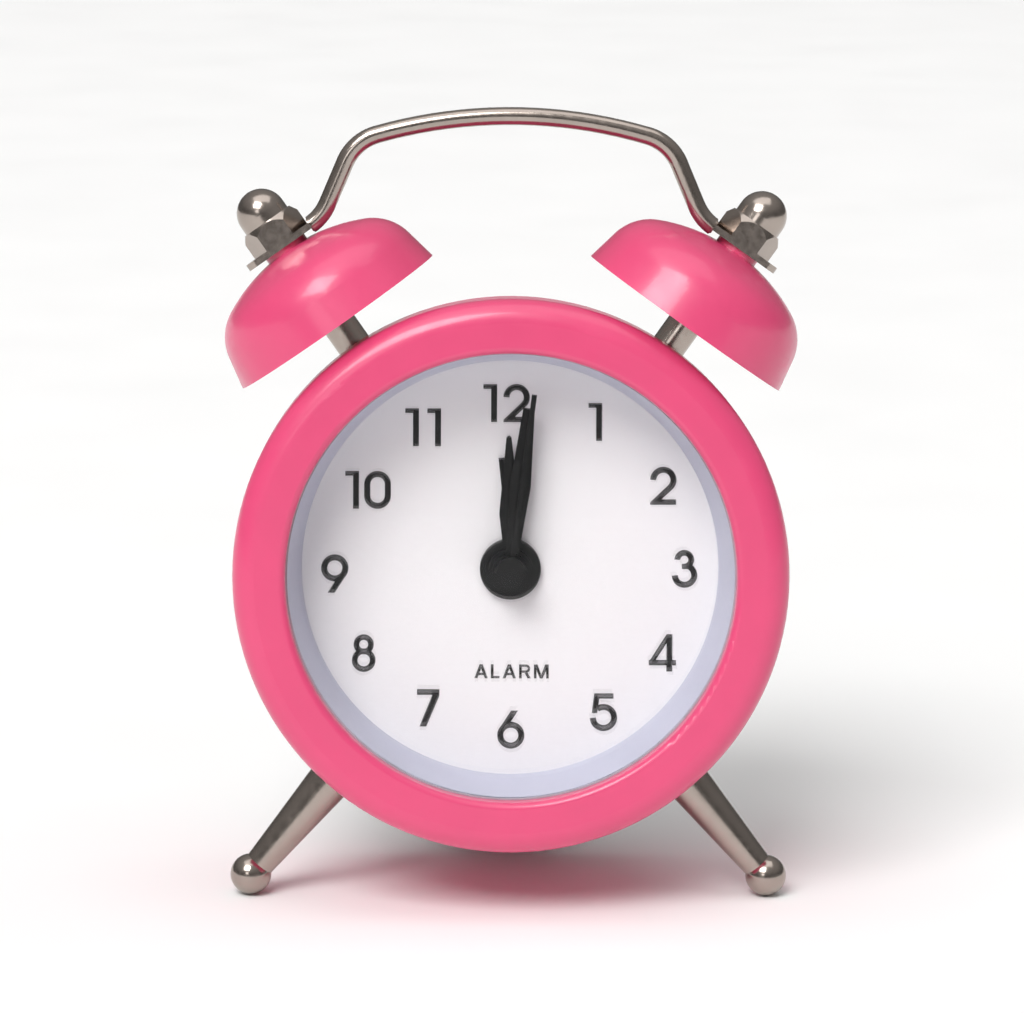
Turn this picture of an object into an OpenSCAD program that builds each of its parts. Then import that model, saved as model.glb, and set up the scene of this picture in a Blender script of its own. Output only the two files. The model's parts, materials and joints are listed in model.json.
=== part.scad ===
// Small twin-bell quartz alarm clock, standing on two ball-ended legs and a prop on its back cover.
// Millimetres, +Z up, dial towards -Y, origin on the table under the middle of the clock.
// Inside in_case() the axes are the dial's own: x right, y up the dial, z out of the dial,
// with z = 0 where the drum ends and the back cover begins.

/* [Bezel and drum] */
// Outer radius of the bezel
bezel_r = 29.2; // [27:0.1:33]
// Radius of the opening in the bezel
bezel_open_r = 23.6; // [21:0.1:24]
// Height of the bezel's front face above the back of the drum
bezel_front = 25; // [24:0.1:30]
// Depth of the bezel's skirt and face together
bezel_depth = 7.5; // [6:0.1:8]
// Rounding of the bezel's outer edge
bezel_edge_r = 2.4; // [1:0.1:3]
// Rounding of the bezel's inner lip
bezel_lip_r = 0.7; // [0.3:0.1:0.8]
// Thickness of the bezel's sheet
bezel_wall = 1.2; // [0.6:0.05:1.4]
// Thickness of the drum's sheet
drum_wall = 0.6; // [0.4:0.05:1]
// How far the clock leans back
lean = 6; // [0:0.5:10]

/* [Lens and dial] */
// Thickness of the lens
lens_t = 1.2; // [0.8:0.1:2]
// Height of the lens gasket
gasket_t = 0.45; // [0.2:0.05:0.8]
// How far the gasket shows inside the bezel's lip
gasket_show = 0.15; // [0:0.05:0.8]
// Height of the dial's printed face
dial_top = 14.8; // [14.7:0.05:15]
// Thickness of the dial
dial_t = 0.6; // [0.3:0.05:0.8]
// Radius of the dial that shows inside the dial ring
dial_show_r = 22.2; // [20:0.1:22.8]

/* [Bells] */
// Angle of each bell from upright
bell_angle = 35.2; // [30:0.1:42]
// Height of a bell's rim above the drum
bell_stand = 4.05; // [2:0.05:8]
// Radius of a bell at its rim
bell_r = 12.3; // [10:0.1:13]
// Height of a bell from rim to crown
bell_h = 9.3; // [8:0.1:12]
// Radius of a bell's shoulder
bell_shoulder_r = 5.5; // [4.5:0.1:6.5]
// Height of a bell's sloping skirt
bell_skirt = 3.4; // [2:0.1:4]
// Outward slope of the skirt in degrees
bell_flare = 11; // [4:0.5:16]
// Thickness of a bell's sheet
bell_wall = 0.8; // [0.5:0.05:1.2]
// Radius of the raised seat on a bell's crown
seat_r = 2.45; // [2.2:0.05:3]
// Height of that seat
seat_h = 0.4; // [0.2:0.05:0.8]
// Height of the bells and legs above the back of the drum
mount_z = 13.5; // [11:0.1:14.5]
// Wall of a bell post
post_wall = 0.25; // [0.2:0.05:0.8]

/* [Handle] */
// Diameter of the handle's wire
wire_d = 1.9; // [1.5:0.1:2.4]
// Height of the wire's crest above its flattened ends
handle_rise = 13.6; // [11:0.1:20]
// Radius of the handle's shallow arch
arch_r = 52; // [45:1:90]
// Half angle of that arch
arch_half = 16; // [8:0.5:18]
// Slope of the handle's legs below level
handle_leg_slope = 67; // [60:1:80]
// Inner bend radius of the wire's centre line
wire_bend_r = 5.2; // [2:0.1:6]
// Width of the flattened wire ends
strap_w = 5.6; // [5:0.1:7]
// Thickness of the flattened wire ends
strap_t = 0.7; // [0.5:0.05:1]
// How far a flattened end runs past its nut's axis
strap_past = 4.4; // [3.5:0.1:6]

/* [Legs] */
// Angle of each leg from straight down
leg_angle = 39.7; // [35:0.1:45]
// Length of a leg from the drum to the middle of its ball
leg_len = 15.45; // [12:0.05:22]
// Radius of a foot's ball
foot_r = 2.2; // [1.9:0.05:3]
// Radius of a leg where it meets the drum
leg_top_r = 2.5; // [2:0.05:3]
// Radius of a leg's neck above the ball
leg_neck_r = 1.6; // [1.2:0.05:1.8]

/* [Fasteners] */
// Radius of the bell screws
bell_screw_r = 1.5; // [1.25:0.05:1.6]
// Radius of the leg screws
leg_screw_r = 1.25; // [1:0.05:1.4]
// Radius of the cover screws
cover_screw_r = 0.8; // [0.6:0.05:1]
// Width across the flats of an acorn nut
nut_flats = 5.8; // [5:0.1:7]
// Height of an acorn nut's hexagon
nut_hex_h = 2.6; // [2:0.1:3.5]
// Whole height of an acorn nut
nut_h = 6.2; // [5:0.1:8]

/* [Hands] */
// Length of the second hand
second_len = 19; // [15:0.1:20.5]
// Length of the minute hand
minute_len = 17.4; // [14:0.1:20]
// Length of the hour hand
hour_len = 14.3; // [10:0.1:16]
// Length of the alarm hand
alarm_len = 11.9; // [8:0.1:14]
// Thickness of the hands
hand_t = 0.35; // [0.2:0.05:0.5]

/* [Movement] */
// Half the width of the movement's housings
housing_half = 19; // [18.8:0.1:19.2]
// Wall of the housings
housing_wall = 1; // [0.8:0.1:1.2]
// Radial gap of a running fit
run_gap = 0.05; // [0.02:0.01:0.08]
// Gap between sliding pieces
slide_gap = 0.08; // [0.04:0.01:0.15]
// Distance of the third wheel's axis from the centre
third_dist = 5.1; // [5:0.05:5.3]
// Distance of the fifth wheel's axis from the centre
fifth_dist = 5; // [4.95:0.05:5.2]
// Distance of the rotor's axis from the fifth wheel's
rotor_dist = 4.59; // [4.5:0.01:4.7]
// Distance of the time-set axis from the centre
set_dist = 5.4; // [5.35:0.05:5.6]
// Distance of the alarm-set axis from the centre
alarm_dist = 6; // [5.9:0.05:6.1]

/* [Battery, knobs, switch and prop] */
// Radius of the button cell
cell_r = 5.8; // [4.75:0.05:5.8]
// Height of the button cell
cell_h = 5.4; // [3.6:0.1:5.4]
// Radius of the two knobs
knob_r = 3.6; // [3:0.1:4]
// Height of the two knobs
knob_h = 2.7; // [2:0.1:4]
// Thickness of the back cover
cover_t = 2; // [1.8:0.1:2.6]
// How far behind the back cover the prop stands
prop_reach = 9; // [8:0.5:14]
// Width of the prop
prop_w = 12; // [8:0.5:16]
// Thickness of the prop
prop_t = 2.4; // [2:0.1:4]
// Travel of the alarm switch
switch_travel = 3; // [2:0.1:3.5]

/* [Hidden] */
$fn = 64;
cut = 0.1; // how far a cutter runs past a face
fit = 0.05; // gap of a fixed fit

// bezel, lens and dial stack
bezel_back = bezel_front - bezel_depth;
drum_r = bezel_r - bezel_wall - fit;
drum_in_r = drum_r - drum_wall;
lip_drop = 2; // how far the inner lip reaches back from the face
gasket_top = bezel_front - lip_drop;
lens_top = gasket_top - gasket_t;
lens_back = lens_top - lens_t;
lens_r = bezel_open_r + 1.6;
ring_flange_t = 1.4;
drum_front = bezel_front - bezel_edge_r - fit; // just below the bezel's rounded corner
pin_hole_r = 2; // hole in the dial for the alarm tube

// screws, heads and washers inside the drum's wall
screw_clear = 0.1; // radial gap round a fixing screw
washer_r = 3.1;
washer_t = 0.5;
screw_head_r = 2.7;
screw_head_h = 1.7;
// a flat washer rests on its rim inside the drum's curved wall
washer_seat = sqrt(pow(drum_in_r, 2) - pow(washer_r, 2));
head_top = washer_seat - washer_t;
ring_r = head_top - screw_head_h - 0.3; // the dial and its ring stay clear of the screw heads
leg_screw_depth = 6;
nut_bore_depth = 4;
nut_chamfer = 0.6; // slope of the cone that takes the hexagon's corners off

// bells, posts and nuts, measured outwards from the clock's axis
bell_rim_dist = drum_r + bell_stand;
post_r = bell_screw_r + screw_clear + post_wall;
foot_dist = drum_r + leg_len;
crown_dist = bell_rim_dist + bell_h;
seat_dist = crown_dist + seat_h;
strap_mid = seat_dist + strap_t / 2;
nut_dist = seat_dist + strap_t;
// the crown's arc has its centre on the bell's axis and runs smoothly into the shoulder's
shoulder_x = bell_r - bell_skirt * tan(bell_flare) - bell_shoulder_r * cos(bell_flare);
shoulder_y = bell_skirt - bell_shoulder_r * sin(bell_flare);
crown_rise = bell_h - bell_shoulder_r;
crown_drop = (pow(shoulder_x, 2) + pow(shoulder_y, 2) - pow(crown_rise, 2))
    / (2 * (crown_rise - shoulder_y));
crown_r = bell_h + crown_drop;
// the post's rim meets the underside of the curved crown here
post_end = bell_rim_dist - crown_drop + sqrt(pow(crown_r - bell_wall, 2) - pow(post_r, 2));
handle_top = strap_mid * cos(bell_angle) + handle_rise;
strap_end_r = 1; // rounding of a flattened end's corners
bend_swell = 0.01;
lap = 0.05; // how far one run of the wire is let into the next

// movement heights
rear_back = 3.2;
rear_floor = rear_back + housing_wall;
plate_low = 8.6;
plate_t = 0.6;
plate_top = plate_low + plate_t;
front_floor = 13;
front_top = dial_top - dial_t;
corner_r = 5;
screw_at = housing_half - 2.7;
boss_r = 1.4;
screw_end = 12; // height of a cover screw's tip
screw_head_seat = 1.2; // depth of its counterbore
cover_head_r = 1.5;
cover_head_h = 0.9;
pivot_r = 0.3;
arbor_r = 0.5;
pivot_depth = 0.55;

// gear levels
fifth_z = 5;
fifth_t = 0.5;
fifth_pinion_top = 6.65;
second_z = 6.1;
second_pinion_top = 8.2;
third_z = 7.2;
centre_z = 9.5;
centre_t = 0.4;
third_pinion_z = 9.3;
third_pinion_top = 10.1;
cannon_z = 10.1;
cannon_top = 11;
set_wheel_z = 10.3;
set_pinion_top = 11.7;
hour_z = 11.1;
alarm_pinion_z = 11.8;
alarm_pinion_top = 12.7;
alarm_z = 12;
wheel_t = 0.5;

// tubes of the four hands, inside to outside
second_arbor_r = 0.4;
tube_wall = 0.3;
minute_in = second_arbor_r + run_gap;
minute_out = minute_in + tube_wall;
hour_in = minute_out + run_gap;
hour_out = hour_in + tube_wall;
alarm_in = hour_out + run_gap;
alarm_out = alarm_in + 0.35;

// hand levels and hubs
alarm_hand_z = dial_top + 0.25;
hour_hand_z = alarm_hand_z + 0.95;
minute_hand_z = hour_hand_z + 1;
second_hand_z = minute_hand_z + 1.1;
alarm_hub_r = 3.25;
hour_hub_r = 2.3;
minute_hub_r = 1.9;
second_hub_r = 1.65;
hub_t = 0.7;
cap_t = 1.2;

// hand directions at rest, clockwise from twelve
second_at = 7.3;
minute_at = 6.2;
hour_at = -0.9;
alarm_at = -4.4;

// axes in the dial's plane
third_pos = [0, third_dist];
fifth_pos = [0, -fifth_dist];
rotor_pos = [-rotor_dist, -fifth_dist];
set_pos = [set_dist, 0];
alarm_pos = [-alarm_dist, 0];
cell_pos = [10.4, -10.6];
buzzer_pos = [0, 14];
switch_pos = [-13.5, 3];
coil_pos = [-4.59, -12.5];

// gear modules follow from the centre distances
second_mod = fifth_dist * 2 / (32 + 8);
rotor_mod = rotor_dist * 2 / (45 + 6);
third_mod = third_dist * 2 / (45 + 6);
centre_mod = third_dist * 2 / (48 + 6);
motion_mod = set_dist * 2 / (30 + 10);
alarm_mod = alarm_dist * 2 / (36 + 12);

// battery well and door
cell_z = -0.7;
cell_step = 0.5; // height of the cell's smaller end
well_r = cell_r + 0.35;
well_wall = 0.55;
well_floor = cell_z + cell_h + 0.3;
well_top = well_floor + 0.6;
door_w = 2 * (well_r + well_wall) + 1;
door_t = 1.1;
door_rail = 0.5;
door_rail_t = 0.45;
spigot_h = 2.2;
contact_t = 0.25;
plus_at = 120; // directions of the contacts from the cell's axis
minus_at = 60;
tab_w = 2;
minus_r = 3.2;

// knobs and switch
knob_gap = 0.3;
knob_top = -cover_t - knob_gap;
knob_hole = 1.9; // how far an arbor reaches into its knob
stem_w = 2.3;
stem_l = 3;
thumb_h = 1.3;
switch_flange = [4.6, 4.6];
switch_flange_t = 0.8;
flute_r = 0.4;
flute_count = 16;

// coil and stator
coil_len = 8;
coil_r = 1.95;
bobbin_r = 2.15;
bobbin_wall = 0.5;
core_w = 2;
core_z = 6.1;
core_t = 0.6;
core_half = 7.2;
stator_z = core_z + core_t;
stator_t = 0.6;
stator_ring_r = 3.5;
stator_hole_r = 2.25;
magnet_r = 1.9;
magnet_t = 1.5;
magnet_z = 6.2;
coil_z = core_z + core_t / 2;
coil_in_r = core_w / 2 + 0.6;

// electrics
board_low = rear_floor + 0.5;
board_t = 0.8;
board_size = [9, 15];
board_pos = [8.5, -2.5];
board_posts = [[10.5, 0], [15, 11]];
chip_pos = [12, 4];
chip_ball_r = 3;
crystal_r = 1;
crystal_len = 6;
crystal_pos = [15.7, 3];
buzzer_r = 7;
buzzer_disc_r = 5;
buzzer_t = 0.25;
buzzer_disc_t = 0.2;
buzzer_seat = 0.6;
sound_hole_r = 0.8;
sound_ring_r = 3.2;
spring_pos = [-7, -9.5];
spring_len = 14;
spring_h = 1.5;
spring_t = 0.25;
spring_foot = 3;

// where the whole clock stands
case_h = foot_r + foot_dist * cos(leg_angle) * cos(lean) - mount_z * sin(lean);
reach_front = (bezel_r - bezel_edge_r) * sin(lean) + (bezel_front - bezel_edge_r) * cos(lean)
    + bezel_edge_r;
// the prop's tip is cut level with the table, behind the cover
prop_tip = cover_t + prop_reach;
prop_foot = (case_h - prop_tip * sin(lean)) / cos(lean);
reach_back = prop_tip * cos(lean) - prop_foot * sin(lean);
case_y = (reach_front - reach_back) / 2;

// ---- places ----

// The dial's own axes
module in_case() {
    translate([0, case_y, case_h]) rotate([90 - lean, 0, 0]) children();
}

// Outwards from the clock's axis, at a clockwise angle from twelve
module radial(angle) {
    in_case() rotate([0, 0, -angle]) translate([0, 0, mount_z]) rotate([-90, 0, 0]) children();
}

// At a point of the dial's plane and a height
module at(pos, z = 0) {
    translate([pos[0], pos[1], z]) children();
}

// The three corners that take cover screws
module at_screws() {
    for (p = [[-1, 1], [1, 1], [-1, -1]]) translate([p[0] * screw_at, p[1] * screw_at, 0]) children();
}

// ---- shapes ----

module tube(r_out, r_in, h) {
    difference() {
        cylinder(r = r_out, h = h);
        translate([0, 0, -cut]) cylinder(r = r_in, h = h + 2 * cut);
    }
}

// One flat ring given by its radii and heights, as a section for rotate_extrude
module section(r_in, r_out, z_low, z_high) {
    translate([r_in, z_low]) square([r_out - r_in, z_high - z_low]);
}

module rounded_square(half, r) {
    union() {
        square([2 * half, 2 * (half - r)], center = true);
        square([2 * (half - r), 2 * half], center = true);
        for (x = [-1, 1], y = [-1, 1]) translate([x * (half - r), y * (half - r)]) circle(r = r);
    }
}

// Corner points of one gear tooth, its middle at angle a
function tooth(a, pitch_deg, r_root, r_tip) = [
    for (p = [[r_root, -0.29], [r_tip, -0.11], [r_tip, 0.11], [r_root, 0.29]])
        [p[0] * cos(a + p[1] * pitch_deg), p[0] * sin(a + p[1] * pitch_deg)]
];

// A flat gear with a tooth, or a gap, pointing along +x turned to face the angle `to`
module gear(teeth, mod, t, to, gap = false) {
    pitch_deg = 360 / teeth;
    r_root = mod * (teeth / 2 - 1.15);
    r_tip = mod * (teeth / 2 + 0.85);
    outline = [for (i = [0 : teeth - 1]) each tooth(i * pitch_deg, pitch_deg, r_root, r_tip)];
    rotate([0, 0, to + (gap ? pitch_deg / 2 : 0)]) linear_extrude(t) polygon(outline);
}

// ---- case ----

module bezel_outline() {
    edge = bezel_edge_r;
    lip = bezel_lip_r;
    section(bezel_open_r, bezel_r, bezel_back, bezel_front - edge);
    section(bezel_open_r, bezel_r - edge, bezel_front - edge - cut, bezel_front - lip);
    section(bezel_open_r + lip, bezel_r - edge, bezel_front - lip - cut, bezel_front);
    translate([bezel_r - edge, bezel_front - edge]) circle(r = edge);
    translate([bezel_open_r + lip, bezel_front - lip]) circle(r = lip);
}

module bezel_hollow() {
    inner = bezel_edge_r - bezel_wall;
    skirt_in = bezel_r - bezel_wall;
    under = bezel_front - bezel_wall;
    section(bezel_open_r + bezel_wall, skirt_in, bezel_back - cut, under - inner);
    section(bezel_open_r + bezel_wall, skirt_in - inner, under - inner - cut, under);
    translate([skirt_in - inner, under - inner]) circle(r = inner);
    section(bezel_open_r - cut, bezel_open_r + bezel_wall + cut, bezel_back - cut, gasket_top);
}

module bezel() {
    color("hotpink") in_case() rotate_extrude() difference() {
        bezel_outline();
        bezel_hollow();
    }
}

module lens() {
    color("lightcyan", 0.3) in_case() translate([0, 0, lens_back]) cylinder(r = lens_r, h = lens_t);
}

module lens_gasket() {
    color("dimgray") in_case() translate([0, 0, lens_top])
        tube(lens_r, bezel_open_r - gasket_show, gasket_t);
}

module dial_ring() {
    flange_low = lens_back - ring_flange_t;
    color("lavender") in_case() rotate_extrude() polygon([
        [dial_show_r, dial_top],
        [bezel_open_r - gasket_show + 0.1, lens_back],
        [drum_in_r - fit, lens_back],
        [drum_in_r - fit, flange_low],
        [ring_r, flange_low],
        [ring_r, dial_top]
    ]);
}

module dial() {
    color("white") in_case() translate([0, 0, front_top]) tube(ring_r, pin_hole_r, dial_t);
}

module drum() {
    color("hotpink") difference() {
        in_case() tube(drum_r, drum_in_r, drum_front);
        for (a = [-bell_angle, bell_angle]) radial(a) translate([0, 0, drum_r / 2])
            cylinder(r = bell_screw_r + screw_clear, h = drum_r);
        for (a = [180 - leg_angle, 180 + leg_angle]) radial(a) translate([0, 0, drum_r / 2])
            cylinder(r = leg_screw_r + screw_clear, h = drum_r);
    }
}

// ---- bells, posts, nuts and handle ----

// Solid of revolution outline of a bell, grown inwards by `inset`
module bell_outline(inset) {
    meet_x = shoulder_x * crown_r / (crown_r - bell_shoulder_r);
    round_r = bell_shoulder_r - inset;
    skirt_x = shoulder_x + round_r * cos(bell_flare);
    skirt_y = shoulder_y + round_r * sin(bell_flare);
    low = inset > 0 ? -cut : 0;
    intersection() {
        union() {
            polygon([[0, low], [skirt_x + (skirt_y - low) * tan(bell_flare), low], [skirt_x, skirt_y],
                [0, skirt_y]]);
            section(0, meet_x, low, bell_h);
            translate([shoulder_x, shoulder_y]) circle(r = round_r);
        }
        translate([0, -crown_drop]) circle(r = crown_r - inset);
        section(0, 2 * bell_r, low, 2 * bell_h);
    }
}

module bell(angle) {
    color("hotpink") radial(angle) translate([0, 0, bell_rim_dist]) difference() {
        union() {
            rotate_extrude() difference() {
                bell_outline(0);
                bell_outline(bell_wall);
            }
            translate([0, 0, bell_h - bell_wall]) cylinder(r = seat_r, h = bell_wall + seat_h);
        }
        translate([0, 0, bell_h / 2]) cylinder(r = bell_screw_r + screw_clear, h = bell_h);
    }
}

module bell_post(angle) {
    color("silver") radial(angle) translate([0, 0, drum_r])
        tube(post_r, bell_screw_r + screw_clear, post_end - drum_r);
}

module bell_screws() {
    color("silver") for (a = [-bell_angle, bell_angle]) radial(a) {
        translate([0, 0, head_top - screw_head_h]) cylinder(r = screw_head_r, h = screw_head_h);
        translate([0, 0, head_top])
            cylinder(r = bell_screw_r, h = nut_dist + nut_bore_depth - head_top);
    }
}

// The hexagon's flats face the front and back
module acorn_nut() {
    dome_r = nut_flats / 2 - 0.25;
    chamfer_r = nut_flats / 2 - 0.05;
    difference() {
        union() {
            intersection() {
                cylinder(r = nut_flats / sqrt(3), h = nut_hex_h, $fn = 6);
                cylinder(r1 = chamfer_r + nut_chamfer * nut_hex_h, r2 = chamfer_r, h = nut_hex_h);
            }
            cylinder(r = dome_r, h = nut_h - dome_r);
            translate([0, 0, nut_h - dome_r]) sphere(r = dome_r);
        }
        translate([0, 0, -cut]) cylinder(r = bell_screw_r, h = nut_bore_depth + cut);
    }
}

module acorn_nuts() {
    color("silver") for (a = [-bell_angle, bell_angle]) radial(a)
        translate([0, 0, nut_dist]) acorn_nut();
}

// A bend of the wire in the dial's plane, about `centre`, from angle a0 round to a1. Bends are a
// hair thicker than straight wire, as bending leaves them.
module wire_bend(centre, r, a0, a1, d = wire_d + 2 * bend_swell) {
    translate([centre[0], centre[1], 0]) rotate([0, 0, a0]) rotate_extrude(angle = a1 - a0)
        translate([r, 0]) circle(d = d);
}

// A straight run of the wire between two points of the dial's plane, let a little into the bends
module wire_run(from, to) {
    step = to - from;
    translate([from[0], from[1], 0]) rotate([0, 0, atan2(step[1], step[0])]) rotate([0, 90, 0])
        translate([0, 0, -lap]) cylinder(d = wire_d, h = norm(step) + 2 * lap);
}

function polar(r, a) = [r * cos(a), r * sin(a)];

// The wire's end hammered flat, with a hole for the bell screw at the origin and the strap's
// thickness along z. The round wire arrives at x = along.
module strap(along) {
    eye_start = -(nut_flats / sqrt(3) + 0.3); // clear of the nut's corners
    end_x = strap_past - strap_end_r;
    low = -strap_t / 2;
    difference() {
        union() {
            intersection() {
                translate([along - lap, 0, 0]) rotate([0, 90, 0])
                    cylinder(r1 = wire_d / 2, r2 = strap_w / 2, h = eye_start - along + 3 * lap);
                rotate([90, 0, 0]) linear_extrude(2 * strap_w, center = true) polygon([
                    [along - 2 * lap, -wire_d / 2 - 0.15],
                    [eye_start + 4 * lap, low + 0.02],
                    [eye_start + 4 * lap, -low - 0.02],
                    [along - 2 * lap, wire_d / 2 + 0.15]
                ]);
            }
            translate([0, 0, low]) linear_extrude(strap_t) union() {
                translate([eye_start, -strap_w / 2]) square([end_x - eye_start, strap_w]);
                translate([end_x - lap, strap_end_r - strap_w / 2])
                    square([strap_end_r + lap, strap_w - 2 * strap_end_r]);
                for (y = [-1, 1]) translate([end_x, y * (strap_w / 2 - strap_end_r)])
                    circle(r = strap_end_r);
            }
        }
        translate([0, 0, -wire_d]) cylinder(r = bell_screw_r + screw_clear, h = 2 * wire_d);
    }
}

// Right half of the handle below its arch. Angles are those of the outward normal, anticlockwise
// from +x.
module handle_half() {
    arch_centre = [0, handle_top - arch_r];
    arch_end = 90 - arch_half;
    leg_normal = 90 - handle_leg_slope;
    strap_normal = 90 - bell_angle;
    bend_centre = arch_centre + polar(arch_r - wire_bend_r, arch_end);
    leg_start = bend_centre + polar(wire_bend_r, leg_normal);
    leg_dir = polar(1, leg_normal - 90);
    outward = polar(1, strap_normal);
    // the lower bend curves the other way and ends on the strap's line
    low_shift = polar(wire_bend_r, leg_normal) - polar(wire_bend_r, strap_normal);
    leg_run = (strap_mid - (leg_start + low_shift) * outward) / (leg_dir * outward);
    leg_end = leg_start + leg_run * leg_dir;
    low_centre = leg_end + polar(wire_bend_r, leg_normal);
    strap_start = leg_end + low_shift;
    strap_dir = polar(1, strap_normal - 90);
    wire_bend(bend_centre, wire_bend_r, leg_normal, arch_end);
    wire_run(leg_start, leg_end);
    wire_bend(low_centre, wire_bend_r, 180 + leg_normal, 180 + strap_normal);
    rotate([0, 0, strap_normal - 90]) translate([0, strap_mid, 0]) rotate([-90, 0, 0])
        strap(strap_start * strap_dir);
}

module handle() {
    arch_lap = lap / arch_r * 180 / PI;
    color("silver") in_case() translate([0, 0, mount_z]) {
        wire_bend([0, handle_top - arch_r], arch_r, 90 - arch_half - arch_lap,
            90 + arch_half + arch_lap, wire_d);
        handle_half();
        mirror([1, 0, 0]) handle_half();
    }
}

// ---- legs ----

module leg(angle) {
    neck_drop = sqrt(pow(foot_r, 2) - pow(leg_neck_r, 2));
    color("silver") radial(angle) difference() {
        union() {
            translate([0, 0, drum_r])
                cylinder(r1 = leg_top_r, r2 = leg_neck_r, h = foot_dist - neck_drop - drum_r);
            translate([0, 0, foot_dist - neck_drop - cut]) cylinder(r = leg_neck_r, h = neck_drop);
            translate([0, 0, foot_dist]) sphere(r = foot_r);
        }
        translate([0, 0, drum_r - cut]) cylinder(r = leg_screw_r, h = leg_screw_depth + cut);
    }
}

module leg_screws() {
    color("silver") for (a = [180 - leg_angle, 180 + leg_angle]) radial(a) {
        translate([0, 0, head_top - screw_head_h]) cylinder(r = screw_head_r, h = screw_head_h);
        translate([0, 0, head_top])
            cylinder(r = leg_screw_r, h = drum_r + leg_screw_depth - 0.2 - head_top);
    }
}

module screw_washers() {
    color("silver") {
        for (a = [-bell_angle, bell_angle]) radial(a) translate([0, 0, head_top])
            tube(washer_r, bell_screw_r + screw_clear, washer_t);
        for (a = [180 - leg_angle, 180 + leg_angle]) radial(a)
            translate([0, 0, head_top])
            tube(washer_r, leg_screw_r + screw_clear, washer_t);
    }
}

// ---- back cover, door, knobs and switch ----

// The door's T-shaped section, grown all round by `gap`
module door_shape(length, gap) {
    half = door_w / 2;
    translate([-half - gap, -half - gap, -cover_t - gap])
        cube([length + 2 * gap, door_w + 2 * gap, door_t + 2 * gap]);
    translate([-half - gap, -half - door_rail - gap, -cover_t + door_t - door_rail_t - gap])
        cube([length + 2 * gap, door_w + 2 * (door_rail + gap), door_rail_t + 2 * gap]);
}

// A prop moulded on the cover's lower back, sloping away to the table, with a rib down its middle.
// Its sections are drawn with x out of the dial and y up the dial.
module prop() {
    root = drum_r - 2.5;
    tip = prop_foot + 2; // below the table, where it is cut level
    slope = (tip - root) / (prop_tip - cover_t);
    rise = prop_t * sqrt(1 + pow(slope, 2));
    translate([prop_w / 2, 0, 0]) rotate([0, -90, 0]) linear_extrude(prop_w)
        polygon([[-cover_t + cut, -root], [-cover_t + cut, rise - root], [-prop_tip, rise - tip],
            [-prop_tip, -tip]]);
    translate([prop_t / 2, 0, 0]) rotate([0, -90, 0]) linear_extrude(prop_t)
        polygon([[-cover_t + cut, -root], [-cover_t + cut, rise - root + prop_t],
            [-prop_tip + prop_t, rise - tip + prop_t], [-prop_tip + prop_t, -tip]]);
}

module sound_holes() {
    at(buzzer_pos, -cover_t - cut) {
        cylinder(r = sound_hole_r, h = cover_t + 2 * cut);
        for (i = [0 : 5]) rotate([0, 0, i * 60]) translate([sound_ring_r, 0, 0])
            cylinder(r = sound_hole_r, h = cover_t + 2 * cut);
    }
}

module cover_body() {
    translate([0, 0, -cover_t]) cylinder(r = drum_r, h = cover_t);
    tube(drum_in_r - fit, drum_in_r - fit - housing_wall, spigot_h);
    at_screws() cylinder(r = boss_r, h = rear_back);
    at(buzzer_pos) tube(buzzer_r + 0.4, buzzer_r - 0.6, buzzer_seat);
    at(cell_pos) cylinder(r = well_r + well_wall, h = well_top);
    prop();
}

module back_cover() {
    slot_l = stem_l + switch_travel;
    color("black") difference() {
        in_case() difference() {
            cover_body();
            at(cell_pos, -cover_t) cylinder(r = well_r, h = well_floor + cover_t);
            at(cell_pos) door_shape(2 * bezel_r, slide_gap);
            // slots in the well's end for the two contact tabs
            at(cell_pos, well_floor - cut) rotate([0, 0, plus_at]) {
                translate([well_r - 1, -tab_w / 2 - 2 * fit, 0]) cube([1 + fit, tab_w + 4 * fit, 1]);
            }
            at(cell_pos, well_floor - cut) rotate([0, 0, minus_at]) {
                translate([minus_r - contact_t, -tab_w / 2 - 2 * fit, 0])
                    cube([2 * contact_t, tab_w + 4 * fit, 1]);
            }
            for (p = [set_pos, alarm_pos]) at(p, -cover_t - cut)
                cylinder(r = arbor_r + run_gap, h = cover_t + 2 * cut);
            at(switch_pos, -cover_t / 2) cube([stem_w + 2 * slide_gap, slot_l + 2 * slide_gap,
                cover_t + 2 * cut], center = true);
            at_screws() translate([0, 0, -cover_t - cut]) {
                cylinder(r = cover_screw_r + screw_clear, h = cover_t + rear_back + 2 * cut);
                cylinder(r = cover_head_r + screw_clear, h = screw_head_seat + cut);
            }
            sound_holes();
        }
        // the prop is cut level with the table
        translate([-bezel_r, -2 * bezel_r, -2 * bezel_r])
            cube([2 * bezel_r, 4 * bezel_r, 2 * bezel_r]);
    }
}

module battery_door() {
    color("black") in_case() at(cell_pos) difference() {
        door_shape(door_w, 0);
        // thumb grooves
        for (i = [0 : 3]) translate([1.2 + 1.3 * i, -4, -cover_t - cut]) cube([0.6, 8, 0.3 + cut]);
    }
}

module knob() {
    difference() {
        translate([0, 0, knob_top - knob_h]) cylinder(r = knob_r, h = knob_h);
        translate([0, 0, knob_top - knob_hole]) cylinder(r = arbor_r, h = knob_hole + cut);
        for (i = [1 : flute_count]) rotate([0, 0, i * 360 / flute_count])
            translate([knob_r + 0.15, 0, knob_top - knob_h - cut])
            cylinder(r = flute_r, h = knob_h - 0.5 + cut);
    }
}

module time_set_knob() {
    color("black") in_case() at(set_pos) knob();
}

module alarm_set_knob() {
    color("black") in_case() at(alarm_pos) knob();
}

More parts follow.
